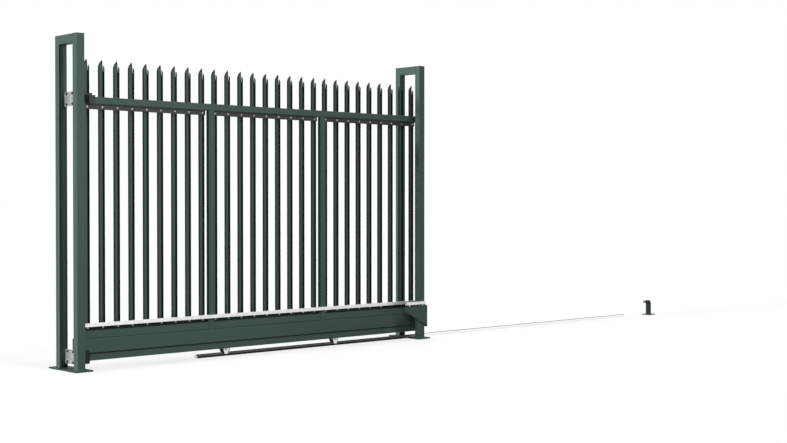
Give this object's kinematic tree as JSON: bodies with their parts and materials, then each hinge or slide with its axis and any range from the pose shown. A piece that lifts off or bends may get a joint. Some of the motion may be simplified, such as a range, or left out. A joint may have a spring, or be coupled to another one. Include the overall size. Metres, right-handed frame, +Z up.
{
  "type": "sliding driveway gate",
  "caption": "Palisade sliding gate: leaf of triple-pointed pales on a heavy beam, rolling on a ground rail between a catch portal and a guide portal, with an end stop.",
  "frame": {"origin": "on the underside of the catch portal's base plate, midway between its two posts", "axes": "+X from the catch portal towards the guide portal and the opened leaf, +Y to the outer side, +Z up"},
  "size_m": [7.577, 0.424, 2.6],
  "materials": {
    "green_paint": "dark green satin powder coat",
    "galvanised_steel": "hot-dip galvanised, dull grey",
    "dark_steel": "weathered dark grey steel",
    "black_nylon": "matt black nylon"
  },
  "bodies": {
    "ground_frame": {"bracket_clamp_bar": "galvanised_steel", "bracket_gusset": "green_paint", "catch_base_plate": "green_paint", "catch_front_post": "green_paint", "catch_rear_post": "green_paint", "catch_top_bar": "green_paint", "front_guide_block": "black_nylon", "ground_rail": "galvanised_steel", "guide_front_plate": "green_paint", "guide_front_post": "green_paint", "guide_rear_plate": "green_paint", "guide_rear_post": "green_paint", "guide_top_bar": "green_paint", "lower_catch": "green_paint", "lower_catch_plate": "galvanised_steel", "rear_guide": "black_nylon", "stop_base_plate": "green_paint", "stop_hook": "green_paint", "stop_post": "green_paint", "upper_catch": "dark_steel", "upper_catch_plate": "galvanised_steel"},
    "leaf": {"bottom_beam": "green_paint", "wheel_channel": "green_paint", "tail_plate": "green_paint", "lower_strip": "galvanised_steel", "top_rail": "green_paint", "wheel_fork_1": "galvanised_steel", "wheel_fork_2": "galvanised_steel", "wheel_axle_1": "galvanised_steel", "wheel_axle_2": "galvanised_steel", "stile_1": "green_paint", "stile_2": "green_paint", "stile_3": "green_paint", "stile_4": "green_paint", "lower_rail_1": "green_paint", "lower_rail_2": "green_paint", "lower_rail_3": "green_paint", "upper_strip_1": "dark_steel", "upper_strip_2": "dark_steel", "upper_strip_3": "dark_steel", "pales_1": "green_paint", "pales_2": "green_paint", "pales_3": "green_paint"},
    "front_wheel": {"wheel_1": "galvanised_steel"},
    "rear_wheel": {"wheel_2": "galvanised_steel"}
  },
  "joints": [
    {"name": "leaf_slide", "type": "slide", "parent": "ground_frame", "child": "leaf", "axis": [1, 0, 0], "range_m": [0, 3.567]},
    {"name": "front_wheel_spin", "type": "hinge", "parent": "leaf", "child": "front_wheel", "pos_m": [1.458, 0, 0.0645], "axis": [0, 1, 0], "continuous": true},
    {"name": "rear_wheel_spin", "type": "hinge", "parent": "leaf", "child": "rear_wheel", "pos_m": [2.675, 0, 0.0645], "axis": [0, 1, 0], "continuous": true}
  ],
  "couplings": [
    {"joint": "front_wheel_spin", "follows": "leaf_slide", "rad_per_m": 26.316},
    {"joint": "rear_wheel_spin", "follows": "leaf_slide", "rad_per_m": 26.316}
  ]
}
